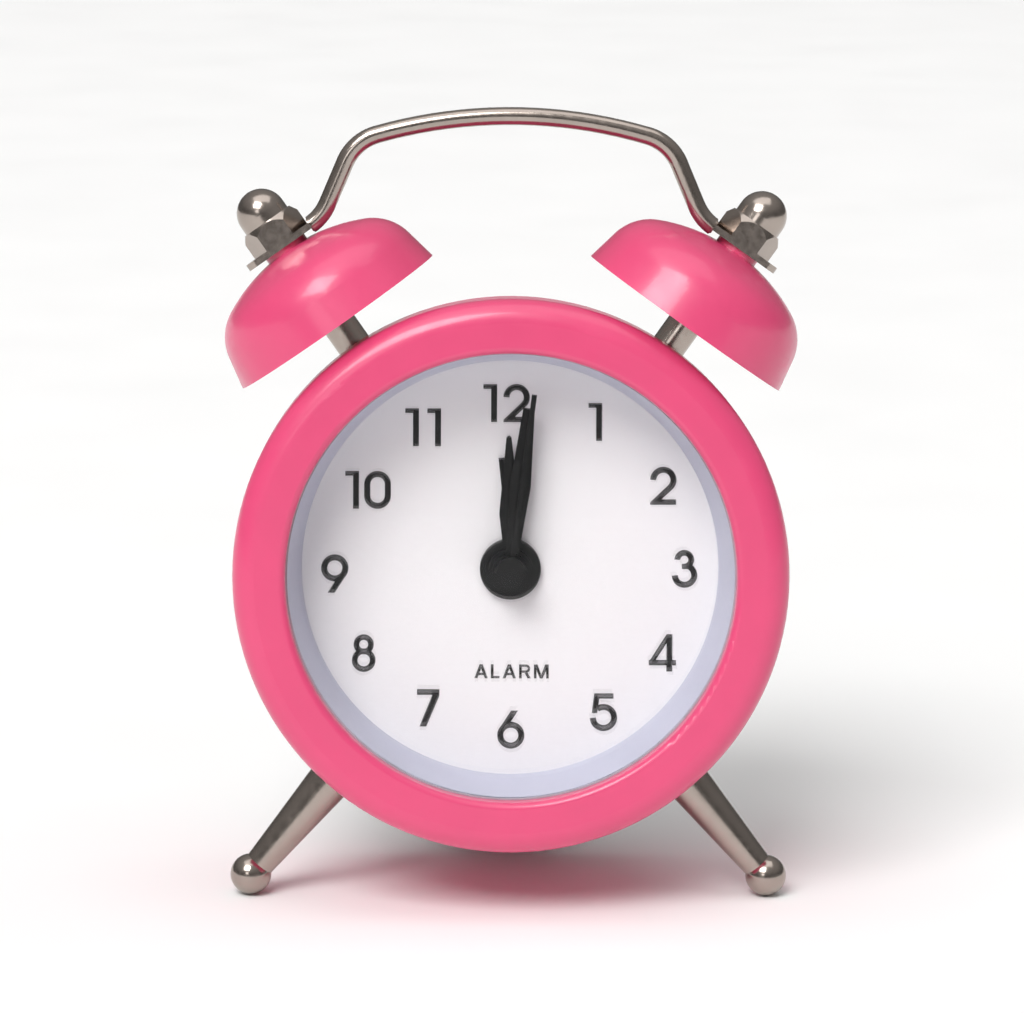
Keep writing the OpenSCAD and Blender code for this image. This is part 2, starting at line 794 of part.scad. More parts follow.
module alarm_switch() {
    color("black") in_case() at([switch_pos[0], switch_pos[1] - switch_travel / 2]) {
        translate([-stem_w / 2, -stem_l / 2, -cover_t - thumb_h])
            cube([stem_w, stem_l, cover_t + thumb_h + slide_gap]);
        translate([-switch_flange[0] / 2, -switch_flange[1] / 2, slide_gap])
            cube([switch_flange[0], switch_flange[1], switch_flange_t]);
    }
}

module cover_screws() {
    color("silver") in_case() at_screws() {
        translate([0, 0, screw_head_seat - cover_t]) {
            translate([0, 0, -cover_head_h]) cylinder(r = cover_head_r, h = cover_head_h);
            cylinder(r = cover_screw_r, h = screw_end + cover_t - screw_head_seat);
        }
    }
}

// ---- hands ----

// A hand from its hub outwards: half widths [distance, half width] up the middle
module hand(stations, hub_r, bore_r, at_deg) {
    n = len(stations);
    outline = [
        for (s = stations) [s[1], s[0]],
        for (i = [1 : n]) [-stations[n - i][1], stations[n - i][0]]
    ];
    rotate([0, 0, -at_deg]) difference() {
        union() {
            linear_extrude(hand_t) polygon(outline);
            cylinder(r = hub_r, h = hub_t);
        }
        translate([0, 0, -cut]) cylinder(r = bore_r, h = hub_t + 2 * cut);
    }
}

module second_hand() {
    color("black") in_case() translate([0, 0, second_hand_z]) rotate([0, 0, -second_at])
        difference() {
            union() {
                translate([-0.27, 0, 0.2]) cube([0.54, second_len, hand_t]);
                cylinder(r = second_hub_r, h = cap_t);
            }
            translate([0, 0, -cut]) cylinder(r = second_arbor_r, h = hub_t + cut);
        }
}

module minute_hand() {
    shape = [[0, 0.7], [minute_len * 0.2, 0.75], [minute_len * 0.52, 1.12], [minute_len, 0.6]];
    color("black") in_case() translate([0, 0, minute_hand_z])
        hand(shape, minute_hub_r, minute_out, minute_at);
}

module hour_hand() {
    shape = [[0, 0.8], [hour_len * 0.25, 0.87], [hour_len * 0.42, 1.12], [hour_len - 0.2, 0.27],
        [hour_len, 0.1]];
    color("black") in_case() translate([0, 0, hour_hand_z]) hand(shape, hour_hub_r, hour_out, hour_at);
}

module alarm_hand() {
    shape = [[0, 0.3], [alarm_len * 0.75, 0.3], [alarm_len, 0.4]];
    color("black") in_case() translate([0, 0, alarm_hand_z])
        hand(shape, alarm_hub_r, alarm_out, alarm_at);
}

// ---- movement housings ----

module rear_housing() {
    color("ivory") in_case() difference() {
        translate([0, 0, rear_back]) linear_extrude(plate_low - rear_back)
            rounded_square(housing_half, corner_r);
        difference() {
            translate([0, 0, rear_floor]) linear_extrude(plate_low - rear_floor + cut)
                rounded_square(housing_half - housing_wall, corner_r - housing_wall);
            at_screws() cylinder(r = boss_r, h = plate_low);
            for (p = board_posts) at(p, rear_floor) cylinder(r = 0.9, h = board_low - rear_floor);
        }
        at(cell_pos, rear_back - cut)
            cylinder(r = well_r + well_wall + fit, h = well_top - rear_back + 2 * cut);
        at_screws() cylinder(r = cover_screw_r + screw_clear, h = plate_low + cut);
        for (p = [set_pos, alarm_pos]) at(p, rear_back - cut)
            cylinder(r = arbor_r + run_gap, h = housing_wall + 2 * cut);
        for (p = [[0, 0], third_pos, fifth_pos, rotor_pos]) at(p, rear_floor - pivot_depth)
            cylinder(r = pivot_r + run_gap, h = pivot_depth + cut);
    }
}

module middle_plate() {
    color("ivory") in_case() translate([0, 0, plate_low]) difference() {
        linear_extrude(plate_t) rounded_square(housing_half, corner_r);
        translate([0, 0, -cut]) {
            cylinder(r = second_arbor_r + run_gap, h = plate_t + 2 * cut);
            for (p = [third_pos, fifth_pos, rotor_pos]) at(p)
                cylinder(r = pivot_r + run_gap, h = plate_t + 2 * cut);
            for (p = [set_pos, alarm_pos]) at(p) cylinder(r = arbor_r + run_gap, h = plate_t + 2 * cut);
            at_screws() cylinder(r = cover_screw_r + screw_clear, h = plate_t + 2 * cut);
        }
    }
}

module front_housing() {
    color("ivory") in_case() difference() {
        translate([0, 0, plate_top]) linear_extrude(front_top - plate_top)
            rounded_square(housing_half, corner_r);
        difference() {
            translate([0, 0, plate_top - cut]) linear_extrude(front_floor - plate_top + cut)
                rounded_square(housing_half - housing_wall, corner_r - housing_wall);
            at_screws() translate([0, 0, plate_top]) cylinder(r = boss_r, h = front_floor - plate_top);
        }
        at_screws() cylinder(r = cover_screw_r, h = screw_end + 0.2);
        translate([0, 0, front_floor - cut]) cylinder(r = alarm_out + run_gap, h = 2);
        for (p = [set_pos, alarm_pos]) at(p, front_floor - cut)
            cylinder(r = pivot_r + run_gap, h = pivot_depth + cut);
    }
}

// ---- stepping motor ----

module along_coil(half, z) {
    translate([coil_pos[0] - half, coil_pos[1], z]) rotate([0, 90, 0]) children();
}

module coil() {
    color("peru") in_case() along_coil(coil_len / 2, coil_z) tube(coil_r, coil_in_r, coil_len);
}

module bobbin() {
    flange_x = coil_len / 2 + bobbin_wall;
    color("darkgreen") in_case() difference() {
        union() {
            along_coil(coil_len / 2, coil_z) cylinder(r = coil_in_r, h = coil_len);
            along_coil(flange_x, coil_z) cylinder(r = bobbin_r, h = bobbin_wall);
            along_coil(-coil_len / 2, coil_z) cylinder(r = bobbin_r, h = bobbin_wall);
        }
        at(coil_pos, coil_z)
            cube([3 * coil_len, core_w + 2 * fit, core_t + 2 * fit], center = true);
    }
}

module coil_core() {
    color("gray") in_case() at(coil_pos, coil_z) cube([2 * core_half, core_w, core_t], center = true);
}

module stator() {
    arm = core_half - 1.4;
    color("gray") in_case() translate([0, 0, stator_z]) linear_extrude(stator_t) difference() {
        union() {
            translate(rotor_pos) circle(r = stator_ring_r);
            for (side = [-1, 1]) polygon([
                rotor_pos + [side * (stator_ring_r - 0.5), -1],
                rotor_pos + [side * (arm + 1), -4],
                coil_pos + [side * (arm + 1), -1],
                coil_pos + [side * (arm - 1), -1],
                rotor_pos + [side * (arm - 1), -4.6],
                rotor_pos + [side, -3.2]
            ]);
        }
        translate(rotor_pos) circle(r = stator_hole_r);
    }
}

// ---- wheels ----

module pivots(low, high, r) {
    translate([0, 0, low]) cylinder(r = r, h = high - low);
}

module rotor() {
    color("dimgray") in_case() at(rotor_pos) {
        pivots(rear_floor - 0.5, plate_top - 0.1, pivot_r);
        translate([0, 0, fifth_z - 0.1]) gear(6, rotor_mod, 0.8, 0, gap = true);
        translate([0, 0, fifth_z + fifth_t]) cylinder(r = arbor_r, h = magnet_z - fifth_z - fifth_t);
        translate([0, 0, magnet_z]) cylinder(r = magnet_r, h = magnet_t);
    }
}

module fifth_wheel() {
    color("gold") in_case() at(fifth_pos) {
        pivots(rear_floor - 0.5, plate_top - 0.1, pivot_r);
        translate([0, 0, fifth_z]) gear(45, rotor_mod, fifth_t, 180);
        translate([0, 0, fifth_z + fifth_t])
            gear(8, second_mod, fifth_pinion_top - fifth_z - fifth_t, 90);
    }
}

module second_wheel() {
    color("gold") in_case() {
        pivots(rear_floor - 0.5, second_z, pivot_r);
        translate([0, 0, second_z]) gear(32, second_mod, wheel_t, 270, gap = true);
        translate([0, 0, second_z + wheel_t])
            gear(6, third_mod, second_pinion_top - second_z - wheel_t, 90);
        pivots(second_pinion_top, second_hand_z + hub_t, second_arbor_r);
    }
}

module third_wheel() {
    color("gold") in_case() at(third_pos) {
        pivots(rear_floor - 0.5, third_pinion_z, pivot_r);
        translate([0, 0, third_z]) gear(45, third_mod, wheel_t, 270, gap = true);
        translate([0, 0, third_pinion_z])
            gear(6, centre_mod, third_pinion_top - third_pinion_z, 270);
    }
}

module centre_wheel() {
    color("gold") in_case() difference() {
        translate([0, 0, centre_z]) gear(48, centre_mod, centre_t, 90, gap = true);
        translate([0, 0, centre_z - cut]) cylinder(r = minute_out + run_gap, h = 1);
    }
}

module minute_arbor() {
    color("gold") in_case() difference() {
        union() {
            translate([0, 0, plate_top + 0.05])
                cylinder(r = minute_out, h = minute_hand_z + hub_t - plate_top - 0.05);
            translate([0, 0, cannon_z]) gear(10, motion_mod, cannon_top - cannon_z, 0);
        }
        cylinder(r = minute_in, h = bezel_front);
    }
}

module minute_wheel() {
    color("gold") in_case() at(set_pos) {
        pivots(knob_top - knob_hole, set_wheel_z, arbor_r);
        translate([0, 0, set_wheel_z]) gear(30, motion_mod, wheel_t, 180, gap = true);
        translate([0, 0, set_wheel_z + wheel_t])
            gear(8, motion_mod, set_pinion_top - set_wheel_z - wheel_t, 180);
        pivots(set_pinion_top, front_floor + 0.5, pivot_r);
    }
}

module hour_wheel() {
    color("gold") in_case() difference() {
        union() {
            translate([0, 0, hour_z]) gear(32, motion_mod, wheel_t, 0, gap = true);
            translate([0, 0, hour_z]) cylinder(r = hour_out, h = hour_hand_z + hub_t - hour_z);
        }
        cylinder(r = hour_in, h = bezel_front);
    }
}

module alarm_wheel() {
    color("white") in_case() difference() {
        union() {
            translate([0, 0, alarm_z]) gear(36, alarm_mod, wheel_t, 180, gap = true);
            translate([0, 0, alarm_z]) cylinder(r = alarm_out, h = alarm_hand_z + hub_t - alarm_z);
        }
        cylinder(r = alarm_in, h = bezel_front);
    }
}

module alarm_set_arbor() {
    color("white") in_case() at(alarm_pos) {
        pivots(knob_top - knob_hole, alarm_pinion_z, arbor_r);
        translate([0, 0, alarm_pinion_z]) gear(12, alarm_mod, alarm_pinion_top - alarm_pinion_z, 0);
        pivots(alarm_pinion_top, front_floor + 0.5, pivot_r);
    }
}

module alarm_contact_spring() {
    color("goldenrod") in_case() {
        at(spring_pos, front_floor - spring_h) cube([spring_len, spring_t, spring_h]);
        at(spring_pos, front_floor - spring_t) cube([spring_foot, spring_foot, spring_t]);
    }
}

// ---- electrics ----

module circuit_board() {
    color("green") in_case() at(board_pos, board_low) cube([board_size[0], board_size[1], board_t]);
}

module chip() {
    color("black") in_case() at(chip_pos, board_low + board_t) intersection() {
        translate([0, 0, 1 - chip_ball_r]) sphere(r = chip_ball_r);
        cylinder(r = chip_ball_r, h = chip_ball_r);
    }
}

module quartz_crystal() {
    color("silver") in_case() at(crystal_pos, board_low + board_t + crystal_r) rotate([-90, 0, 0])
        cylinder(r = crystal_r, h = crystal_len);
}

module buzzer() {
    color("goldenrod") in_case() at(buzzer_pos, buzzer_seat) {
        cylinder(r = buzzer_r, h = buzzer_t);
        translate([0, 0, buzzer_t]) cylinder(r = buzzer_disc_r, h = buzzer_disc_t);
    }
}

module button_cell() {
    color("silver") in_case() at(cell_pos, cell_z) {
        cylinder(r = cell_r, h = cell_h - cell_step);
        translate([0, 0, cell_h - cell_step]) cylinder(r = cell_r - 1, h = cell_step);
    }
}

module plus_contact() {
    color("silver") in_case() at(cell_pos) rotate([0, 0, plus_at]) {
        rotate([0, 0, -25]) rotate_extrude(angle = 50)
            section(cell_r, well_r - fit, door_t - cover_t + 1.2, well_floor);
        translate([cell_r, -tab_w / 2, well_floor]) cube([contact_t, tab_w, 1.5]);
    }
}

module minus_contact() {
    color("silver") in_case() at(cell_pos, cell_z + cell_h) rotate([0, 0, minus_at]) {
        cylinder(r = minus_r, h = contact_t);
        translate([minus_r - 0.2, -tab_w / 2, 0]) cube([contact_t, tab_w, 1.7]);
    }
}

// ---- what is drawn ----

bezel();
lens();
lens_gasket();
dial_ring();
dial();
drum();
back_cover();
battery_door();
bell(-bell_angle);  // left_bell
bell(bell_angle);  // right_bell
bell_post(-bell_angle);  // left_bell_post
bell_post(bell_angle);  // right_bell_post
bell_screws();
acorn_nuts();
handle();
leg(180 + leg_angle);  // left_leg
leg(180 - leg_angle);  // right_leg
leg_screws();
screw_washers();
cover_screws();
second_hand();
minute_hand();
hour_hand();
alarm_hand();
rear_housing();
middle_plate();
front_housing();
coil();
bobbin();
coil_core();
stator();
rotor();
fifth_wheel();
second_wheel();
third_wheel();
centre_wheel();
minute_arbor();
minute_wheel();
hour_wheel();
alarm_wheel();
alarm_set_arbor();
time_set_knob();
alarm_set_knob();
alarm_switch();
alarm_contact_spring();
circuit_board();
chip();
quartz_crystal();
buzzer();
button_cell();
plus_contact();
minus_contact();
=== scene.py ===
"""Looks of the small twin-bell alarm clock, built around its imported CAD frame."""

import json
import math

import bmesh
import bpy
from mathutils import Matrix, Vector
from mathutils.geometry import delaunay_2d_cdt


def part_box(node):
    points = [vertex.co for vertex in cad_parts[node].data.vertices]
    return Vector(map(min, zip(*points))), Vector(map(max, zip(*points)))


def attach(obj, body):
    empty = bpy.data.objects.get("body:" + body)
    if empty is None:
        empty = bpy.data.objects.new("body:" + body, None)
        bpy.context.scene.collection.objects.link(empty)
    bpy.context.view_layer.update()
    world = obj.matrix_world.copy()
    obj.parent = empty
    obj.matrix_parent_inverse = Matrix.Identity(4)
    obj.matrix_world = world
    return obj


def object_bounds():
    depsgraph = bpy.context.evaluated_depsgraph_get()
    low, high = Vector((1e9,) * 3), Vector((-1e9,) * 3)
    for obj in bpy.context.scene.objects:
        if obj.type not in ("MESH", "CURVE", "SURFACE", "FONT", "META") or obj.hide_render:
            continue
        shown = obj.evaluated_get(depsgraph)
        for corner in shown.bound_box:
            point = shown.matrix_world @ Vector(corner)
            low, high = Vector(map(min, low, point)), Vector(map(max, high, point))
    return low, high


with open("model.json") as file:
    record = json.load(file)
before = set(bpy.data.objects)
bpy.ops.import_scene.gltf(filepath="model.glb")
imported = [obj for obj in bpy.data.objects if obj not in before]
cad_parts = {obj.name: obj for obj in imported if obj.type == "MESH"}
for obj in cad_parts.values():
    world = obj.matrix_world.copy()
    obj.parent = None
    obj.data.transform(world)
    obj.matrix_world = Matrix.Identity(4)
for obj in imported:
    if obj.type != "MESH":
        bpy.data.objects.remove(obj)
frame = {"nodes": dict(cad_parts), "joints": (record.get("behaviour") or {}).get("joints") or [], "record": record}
cad_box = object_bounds()

MM = 0.001
nodes = frame["nodes"]
scene = bpy.context.scene

# ---- the dial's own axes, from the CAD ----

minute_joint = next(j for j in frame["joints"] if j["name"] == "minute_hand_turn")
OUT = -Vector(minute_joint["axis"]).normalized()
RIGHT = Vector((1, 0, 0))
UP = OUT.cross(RIGHT)


def face_point(node):
    """Middle of a round node's front face, seen along the dial's axis."""
    low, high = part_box(node)
    middle = (low + high) / 2
    top = max(v.co.dot(OUT) for v in nodes[node].data.vertices)
    return middle + OUT * (top - middle.dot(OUT))


def dial_frame(origin):
    """Matrix from the dial's millimetres (right, up, out) to the scene's metres."""
    m = Matrix((RIGHT * MM, UP * MM, OUT * MM)).transposed().to_4x4()
    m.translation = origin
    return m


DIAL = dial_frame(face_point("dial"))

# ---- camera ----

CAMERA_AZIMUTH = math.radians(-0.76)
CAMERA_ELEVATION = math.radians(12.25)
CAMERA_ROLL = math.radians(0.39)
CAMERA_DISTANCE = 0.45
CAMERA_LENS = 147.76
CAMERA_SENSOR = 36
CLIP_NEAR = 0.01
CLIP_FAR = 50
# from the middle of the dial to the point in the middle of the picture
AIM_OFFSET = Vector((0.19, 3.46, 5.98)) * MM


def direction(azimuth, elevation):
    """Unit vector towards a place seen at these angles; azimuth 0 is straight in front."""
    return Vector(
        (
            math.sin(azimuth) * math.cos(elevation),
            -math.cos(azimuth) * math.cos(elevation),
            math.sin(elevation),
        )
    )


def make_camera():
    back = direction(CAMERA_AZIMUTH, CAMERA_ELEVATION)
    right = (-back).cross(Vector((0, 0, 1))).normalized()
    up = right.cross(-back)
    right, up = (
        right * math.cos(CAMERA_ROLL) + up * math.sin(CAMERA_ROLL),
        up * math.cos(CAMERA_ROLL) - right * math.sin(CAMERA_ROLL),
    )
    data = bpy.data.cameras.new("camera")
    data.lens = CAMERA_LENS
    data.sensor_width = CAMERA_SENSOR
    data.clip_start = CLIP_NEAR
    data.clip_end = CLIP_FAR
    camera = bpy.data.objects.new("camera", data)
    scene.collection.objects.link(camera)
    turn = Matrix((right, up, back)).transposed().to_4x4()
    turn.translation = DIAL.translation + AIM_OFFSET + back * CAMERA_DISTANCE
    camera.matrix_world = turn
    scene.camera = camera


make_camera()

# ---- materials ----

# span of a noise texture's values that is spread over a material's range
NOISE_LOW = 0.3
NOISE_HIGH = 0.7


def srgb(r, g, b):
    """Linear colour of an 8-bit screen colour."""
    return tuple(
        c / 12.92 if c <= 0.04045 else ((c + 0.055) / 1.055) ** 2.4
        for c in (r / 255, g / 255, b / 255)
    ) + (1.0,)


def fill_ramp(ramp, stops):
    """Sets a colour ramp to (place, colour) stops."""
    elements = ramp.color_ramp.elements
    while len(elements) < len(stops):
        elements.new(0.5)
    for element, (place, colour) in zip(elements, stops):
        element.position = place
        element.color = colour


class Finish:
    """One procedural material, built up in steps. Lengths are in millimetres."""

    def __init__(self, name, **sockets):
        self.material = bpy.data.materials.new(name)
        self.material.use_nodes = True
        self.tree = self.material.node_tree
        self.shader = self.tree.nodes["Principled BSDF"]
        for key, value in sockets.items():
            self.shader.inputs[key.replace("_", " ")].default_value = value
        self.coords = self.tree.nodes.new("ShaderNodeTexCoord").outputs["Object"]
        self.height = None

    def add(self, kind, **values):
        node = self.tree.nodes.new("ShaderNode" + kind)
        for key, value in values.items():
            if hasattr(node, key):
                setattr(node, key, value)
            else:
                node.inputs[key.replace("_", " ")].default_value = value
        return node

    def link(self, out, into):
        self.tree.links.new(out, into)
        return self

    def place(self, size, stretch=(1, 1, 1), turn=(0, 0, 0)):
        """Coordinates in which a feature of `size` mm is one unit long."""
        node = self.add("Mapping")
        node.inputs["Rotation"].default_value = turn
        node.inputs["Scale"].default_value = [s / (size * MM) for s in stretch]
        self.link(self.coords, node.inputs["Vector"])
        return node.outputs["Vector"]

    def noise(self, size, detail=3.0, rough=0.55, **place):
        node = self.add("TexNoise", Scale=1.0, Detail=detail, Roughness=rough)
        self.link(self.place(size, **place), node.inputs["Vector"])
        return node.outputs["Fac"]

    def cells(self, size, feature="F1"):
        node = self.add("TexVoronoi", Scale=1.0, feature=feature)
        self.link(self.place(size), node.inputs["Vector"])
        return node.outputs["Distance"]

    def waves(self, size, axis, distortion=0.0):
        node = self.add("TexWave", Scale=1.0, Distortion=distortion, bands_direction=axis)
        self.link(self.place(size), node.inputs["Vector"])
        return node.outputs["Fac"]

    def colours(self, out, *stops):
        """Base colour from a ramp of (place, colour) stops."""
        ramp = self.add("ValToRGB")
        fill_ramp(ramp, stops)
        self.link(out, ramp.inputs["Fac"])
        self.link(ramp.outputs["Color"], self.shader.inputs["Base Color"])
        return self

    def rough(self, out, low, high):
        """Roughness that drifts between two values."""
        node = self.add(
            "MapRange", From_Min=NOISE_LOW, From_Max=NOISE_HIGH, To_Min=low, To_Max=high
        )
        self.link(out, node.inputs["Value"])
        return self.link(node.outputs["Result"], self.shader.inputs["Roughness"])

    def bump(self, out, depth, strength):
        """Relief of one depth in mm, on top of any relief that is already there."""
        node = self.add("Bump", Strength=strength, Distance=depth * MM)
        self.link(out, node.inputs["Height"])
        if self.height is not None:
            self.link(self.height, node.inputs["Normal"])
        self.height = node.outputs["Normal"]
        return self.link(self.height, self.shader.inputs["Normal"])


def shade(colour, factor):
    return tuple(c * factor for c in colour[:3]) + (1.0,)


def varied(finish, out, colour, amount):
    """A colour that drifts by a small amount either way."""
    return finish.colours(
        out, (NOISE_LOW, shade(colour, 1 - amount)), (NOISE_HIGH, shade(colour, 1 + amount))
    )


MATERIALS = {}


def keep(name, finish):
    """Files a material under the name by which it is asked for."""
    MATERIALS[name] = finish.material


def pink_paint():
    f = Finish("pink_paint", Coat_Weight=0.36, Coat_Roughness=0.13, Coat_IOR=1.5)
    varied(f, f.noise(9, detail=4), srgb(220, 71, 117), 0.03)
    f.rough(f.noise(1.6, detail=4), 0.30, 0.40)
    f.bump(f.noise(1.3, detail=2), 0.012, 0.5)
    f.bump(f.noise(0.18, detail=2), 0.002, 0.4)
    keep("pink_paint", f)


def nickel():
    f = Finish("nickel", Metallic=1.0)
    base = srgb(170, 159, 151)
    f.colours(
        f.noise(5, detail=5),
        (0.30, shade(base, 0.9)),
        (0.55, base),
        (0.75, shade(base, 1.05)),
    )
    f.rough(f.noise(0.7, detail=5), 0.15, 0.25)
    f.bump(f.noise(0.25, detail=3), 0.003, 0.35)
    keep("nickel", f)


def steel():
    f = Finish("steel", Metallic=1.0)
    varied(f, f.noise(2.5), srgb(176, 177, 180), 0.08)
    f.rough(f.noise(0.35), 0.25, 0.42)
    f.bump(f.noise(0.2), 0.004, 0.4)
    keep("steel", f)


def clear_lens():
    # the low alpha lets the dial behind have its full light
    f = Finish(
        "clear_lens", Base_Color=(1, 1, 1, 1), Transmission_Weight=1.0, IOR=1.45, Alpha=0.1
    )
    f.rough(f.noise(6, detail=5), 0.0, 0.02)
    keep("clear_lens", f)


def grey_gasket():
    f = Finish("grey_gasket")
    varied(f, f.noise(1.5), srgb(172, 160, 172), 0.06)
    f.rough(f.noise(0.4), 0.5, 0.7)
    f.bump(f.noise(0.15), 0.004, 0.5)
    keep("grey_gasket", f)


def white_ring():
    f = Finish("white_ring")
    varied(f, f.noise(7, detail=4), srgb(191, 193, 210), 0.02)
    f.rough(f.noise(0.8), 0.36, 0.48)
    f.bump(f.noise(0.3), 0.003, 0.4)
    keep("white_ring", f)


def dial_white():
    f = Finish("dial_white")
    fibres = f.noise(0.7, detail=6, rough=0.65, stretch=(1, 1, 2.5), turn=(0, 0.6, 0))
    varied(f, fibres, srgb(241, 239, 241), 0.012)
    f.rough(f.noise(0.3), 0.45, 0.6)
    f.bump(f.noise(0.12, detail=4), 0.003, 0.5)
    keep("dial_white", f)


def black_print():
    f = Finish("black_print")
    varied(f, f.noise(0.5), srgb(8, 6, 7), 0.2)
    f.rough(f.noise(0.2), 0.42, 0.6)
    keep("black_print", f)


def black_plastic():
    f = Finish("black_plastic", Coat_Weight=0.1, Coat_Roughness=0.35)
    varied(f, f.noise(4, detail=4), srgb(36, 36, 38), 0.12)
    f.rough(f.noise(0.6), 0.40, 0.52)
    f.bump(f.cells(0.22), 0.010, 0.35)
    keep("black_plastic", f)


def black_hands():
    f = Finish(
        "black_hands", Coat_Weight=0.25, Coat_Roughness=0.2, Specular_IOR_Level=0.3
    )
    varied(f, f.noise(2.5), srgb(5, 5, 6), 0.2)
    f.rough(f.noise(0.5), 0.36, 0.5)
    f.bump(f.noise(0.35), 0.004, 0.4)
    keep("black_hands", f)


def ivory_plastic():
    f = Finish("ivory_plastic")
    varied(f, f.noise(8, detail=4), srgb(232, 228, 214), 0.03)
    f.rough(f.noise(0.8), 0.42, 0.55)
    f.bump(f.cells(0.3), 0.006, 0.3)
    keep("ivory_plastic", f)


def wheel_plastic():
    f = Finish(
        "wheel_plastic", Subsurface_Weight=0.1, Subsurface_Radius=(0.0006, 0.0005, 0.0003)
    )
    varied(f, f.noise(2), srgb(238, 230, 196), 0.03)
    f.rough(f.noise(0.4), 0.30, 0.42)
    f.bump(f.noise(0.2), 0.003, 0.3)
    keep("wheel_plastic", f)


def brass():
    f = Finish("brass", Metallic=1.0)
    varied(f, f.noise(2, detail=4), srgb(216, 178, 104), 0.07)
    f.rough(f.noise(0.3), 0.18, 0.32)
    f.bump(f.waves(0.12, axis="Y", distortion=0.6), 0.002, 0.4)
    keep("brass", f)


def copper_winding():
    f = Finish("copper_winding", Metallic=0.9, Coat_Weight=0.8, Coat_Roughness=0.1)
    turns = f.waves(0.9, axis="X")
    # the colour darkens into the grooves between the wire's turns: painted shade between the turns
    f.colours(turns, (0.2, srgb(120, 52, 26)), (0.8, srgb(206, 112, 62)))
    f.rough(f.noise(0.3), 0.22, 0.34)
    f.bump(turns, 0.05, 0.8)
    keep("copper", f)


def bobbin_green():
    f = Finish("bobbin_green")
    varied(f, f.noise(1.5), srgb(46, 110, 70), 0.08)
    f.rough(f.noise(0.4), 0.4, 0.55)
    f.bump(f.noise(0.15), 0.004, 0.4)
    keep("bobbin_green", f)


def magnet():
    f = Finish("magnet", Metallic=0.6)
    varied(f, f.noise(0.25, detail=6), srgb(84, 84, 88), 0.25)
    f.rough(f.noise(0.2), 0.45, 0.65)
    f.bump(f.noise(0.12, detail=5), 0.01, 0.6)
    keep("magnet", f)


def board_green():
    f = Finish("board_green", Coat_Weight=0.6, Coat_Roughness=0.12)
    tracks = f.cells(2.2, feature="DISTANCE_TO_EDGE")
    f.colours(tracks, (0.05, srgb(20, 84, 48)), (0.08, srgb(44, 126, 70)))
    f.rough(f.noise(0.5), 0.28, 0.4)
    f.bump(tracks, 0.02, 0.2)
    keep("board_green", f)


def epoxy():
    f = Finish("epoxy", Coat_Weight=0.4, Coat_Roughness=0.1)
    varied(f, f.noise(1), srgb(30, 30, 32), 0.15)
    f.rough(f.noise(0.5), 0.2, 0.34)
    f.bump(f.noise(0.8), 0.03, 0.4)
    keep("epoxy", f)


def cell_steel():
    f = Finish("cell_steel", Metallic=1.0)
    grain = f.noise(0.2, detail=5, stretch=(1, 1, 0.08))
    varied(f, grain, srgb(206, 206, 208), 0.06)
    f.rough(grain, 0.2, 0.34)
    f.bump(grain, 0.003, 0.5)
    keep("cell_steel", f)


for make in (
    pink_paint,
    nickel,
    steel,
    clear_lens,
    grey_gasket,
    white_ring,
    dial_white,
    black_print,
    black_plastic,
    black_hands,
    ivory_plastic,
    wheel_plastic,
    brass,
    copper_winding,
    bobbin_green,
    magnet,
    board_green,
    epoxy,
    cell_steel,
):
    make()


def wear(obj, name):
    """Gives every slot of an object one material."""
    if not obj.data.materials:
        obj.data.materials.append(MATERIALS[name])
    for slot in obj.material_slots:
        slot.material = MATERIALS[name]


slot_of = {s["node"]: s["material_slot"] for s in frame["record"]["subparts"]}
for name, obj in nodes.items():
    wear(obj, slot_of[name])

# ---- flat printing on the dial ----


def arc(centre, radius, start, stop, steps=28):
    """Points from angle `start` to `stop`, in degrees."""
    turns = [math.radians(start + (stop - start) * i / steps) for i in range(steps + 1)]
    return [
        (centre[0] + radius * math.cos(t), centre[1] + radius * math.sin(t)) for t in turns
    ]


def ribbon(points, width, closed=False):
    """Quads of one width along a smooth centre line."""
    pts = [Vector(p) for p in points]
    if closed:
        pts = pts[:-1]
    n = len(pts)
    sides = []
    for i, p in enumerate(pts):
        before = pts[i - 1] if closed or i else p
        after = pts[(i + 1) % n] if closed or i < n - 1 else p
        ahead = (after - before).normalized()
        offset = Vector((-ahead.y, ahead.x)) * width / 2
        sides.append((p + offset, p - offset))
    last = n if closed else n - 1
    quads = []
    for i in range(last):
        (a, b), (c, d) = sides[i], sides[(i + 1) % n]
        quads.append([b, d, c, a])
    return quads


def box2(x0, x1, y0, y1):
    return [(x0, y0), (x1, y0), (x1, y1), (x0, y1)]


def area2(poly):
    """Twice a polygon's signed area: negative when it runs clockwise."""
    return sum(
        poly[i - 1][0] * poly[i][1] - poly[i][0] * poly[i - 1][1] for i in range(len(poly))
    )


# points of the printing closer than this, in mm, are one point
MERGE_DISTANCE = 1e-5


